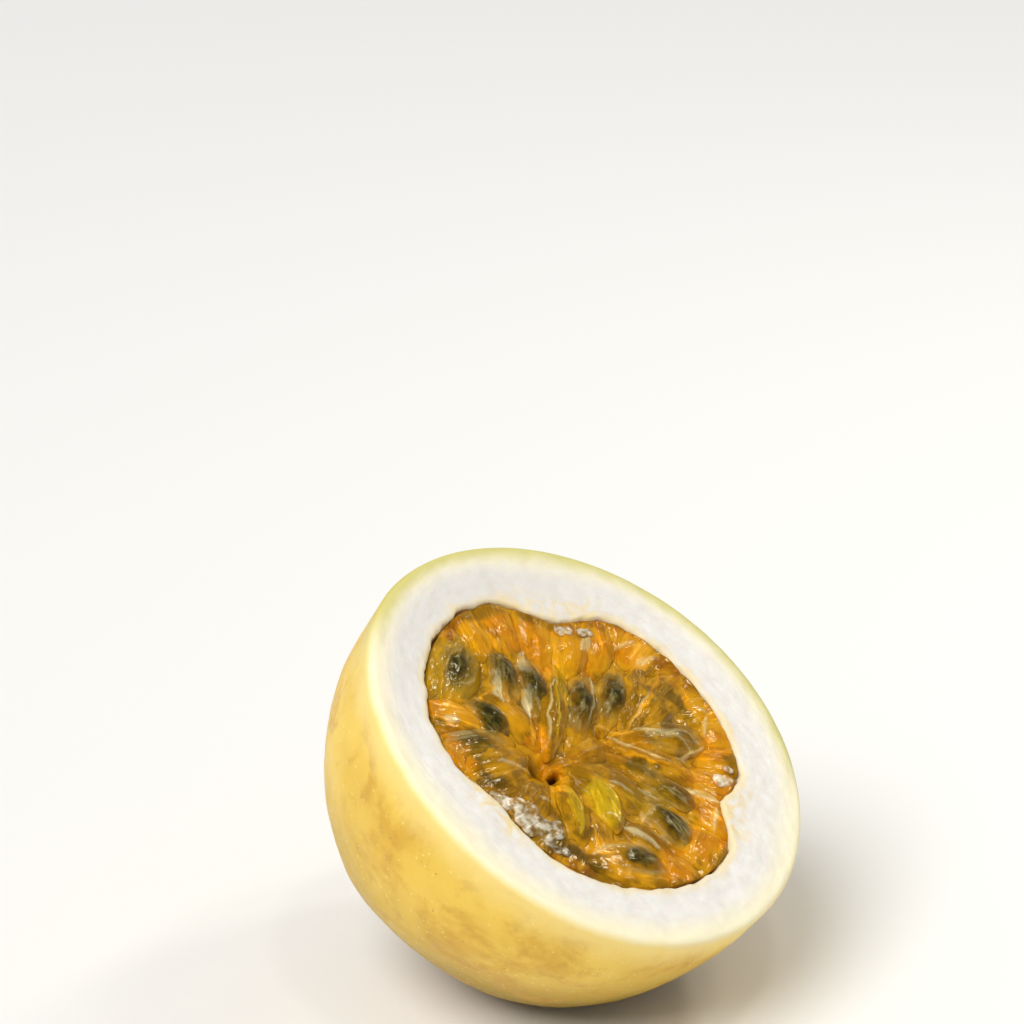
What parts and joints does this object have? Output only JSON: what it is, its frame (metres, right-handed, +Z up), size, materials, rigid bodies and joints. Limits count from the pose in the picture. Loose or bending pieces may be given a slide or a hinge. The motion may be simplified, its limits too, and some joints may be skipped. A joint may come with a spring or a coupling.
{
  "type": "passion fruit half",
  "caption": "Half of a yellow passion fruit, cut across: thick white pith in a waxy yellow skin round juicy seed sacs, leaning on a small flat spot.",
  "frame": {"origin": "centre of the small flat spot that the half fruit rests on, on the surface below it", "axes": "+Z up; the cut face leans 36 degrees from level, down towards -Y; +X runs level across the cut face"},
  "size_m": [0.0625, 0.0583, 0.0523],
  "materials": {
    "rind": "satin",
    "bed": "gloss",
    "sac_olive": "gloss",
    "sac_orange": "gloss",
    "seed": "gloss"
  },
  "bodies": {
    "root": {"pulp_bed": "bed", "rind": "rind", "sac_01": "sac_olive", "sac_02": "sac_olive", "sac_03": "sac_olive", "sac_04": "sac_olive", "sac_05": "sac_olive", "sac_06": "sac_olive", "sac_07": "sac_olive", "sac_08": "sac_olive", "sac_09": "sac_olive", "sac_10": "sac_olive", "sac_11": "sac_olive", "sac_12": "sac_olive", "sac_13": "sac_olive", "sac_14": "sac_olive", "sac_15": "sac_olive", "sac_16": "sac_orange", "sac_17": "sac_olive", "sac_18": "sac_olive", "sac_19": "sac_olive", "sac_20": "sac_olive", "sac_21": "sac_olive", "sac_22": "sac_olive", "sac_23": "sac_olive", "sac_24": "sac_olive", "sac_25": "sac_olive", "sac_26": "sac_olive", "sac_27": "sac_olive", "sac_28": "sac_orange", "sac_29": "sac_orange", "sac_30": "sac_orange", "sac_31": "sac_orange", "sac_32": "sac_orange", "sac_33": "sac_orange", "sac_34": "sac_orange", "sac_35": "sac_orange", "sac_36": "sac_orange", "sac_37": "sac_orange", "sac_38": "sac_orange", "sac_39": "sac_orange", "sac_40": "sac_orange", "sac_41": "sac_orange", "sac_42": "sac_orange", "sac_43": "sac_orange", "sac_44": "sac_orange", "sac_45": "sac_orange", "sac_46": "sac_orange", "seed_01": "seed", "seed_02": "seed", "seed_03": "seed", "seed_05": "seed", "seed_06": "seed", "seed_09": "seed", "seed_13": "seed", "seed_15": "seed", "seed_16": "seed", "seed_23": "seed", "seed_25": "seed"}
  },
  "joints": []
}
